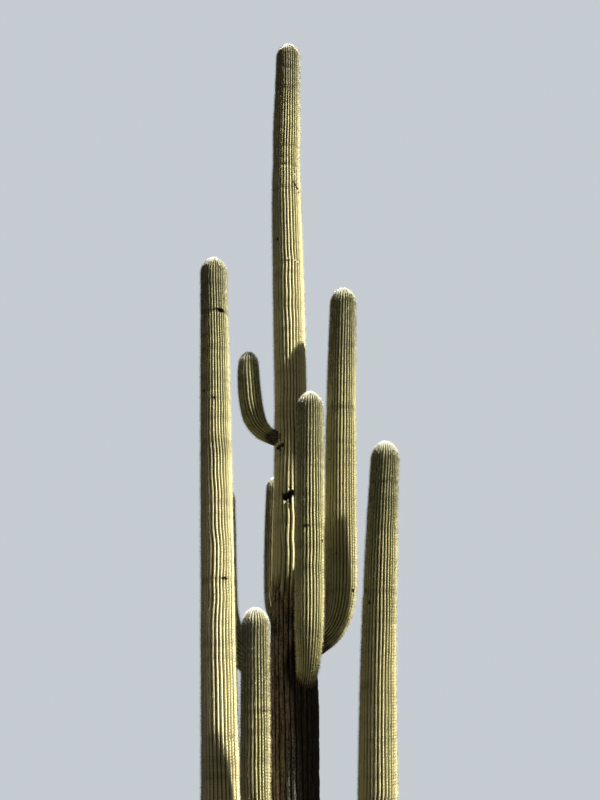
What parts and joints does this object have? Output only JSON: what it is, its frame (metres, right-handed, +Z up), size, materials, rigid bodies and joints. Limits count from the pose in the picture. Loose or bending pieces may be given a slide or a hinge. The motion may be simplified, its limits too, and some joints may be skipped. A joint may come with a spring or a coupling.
{
  "type": "saguaro cactus",
  "caption": "Saguaro cactus rooted in level ground: a tall ribbed trunk, corky and dark at its foot, with ribbed arms that leave at a narrow neck, turn up at the elbow and end in domed tips",
  "frame": {"origin": "centre of the flat cut under the trunk, at ground level", "axes": "+Z up along the trunk, +X to the plant's right and -Y towards the viewer as the plant is seen"},
  "size_m": [2.4976, 2.2458, 13.015],
  "materials": {
    "trunk_skin": "waxy ribbed green skin that turns to matt brown and black cork near the ground",
    "arm_skin": "waxy ribbed olive green skin with rows of grey and straw spines along the ribs",
    "spines": "dry straw to grey spines, white on the tips"
  },
  "bodies": {
    "root": {"trunk": "trunk_skin", "left_tall_elbow": "arm_skin", "left_tall_column": "arm_skin", "upper_left_elbow": "arm_skin", "upper_left_column": "arm_skin", "right_elbow": "arm_skin", "right_column": "arm_skin", "front_elbow": "arm_skin", "front_column": "arm_skin", "right_low_elbow": "arm_skin", "right_low_column": "arm_skin", "front_left_low_elbow": "arm_skin", "front_left_low_column": "arm_skin", "back_left_elbow": "arm_skin", "back_left_column": "arm_skin", "back_left_low_elbow": "arm_skin", "back_left_low_column": "arm_skin", "back_right_elbow": "arm_skin", "back_right_column": "arm_skin"}
  },
  "joints": []
}
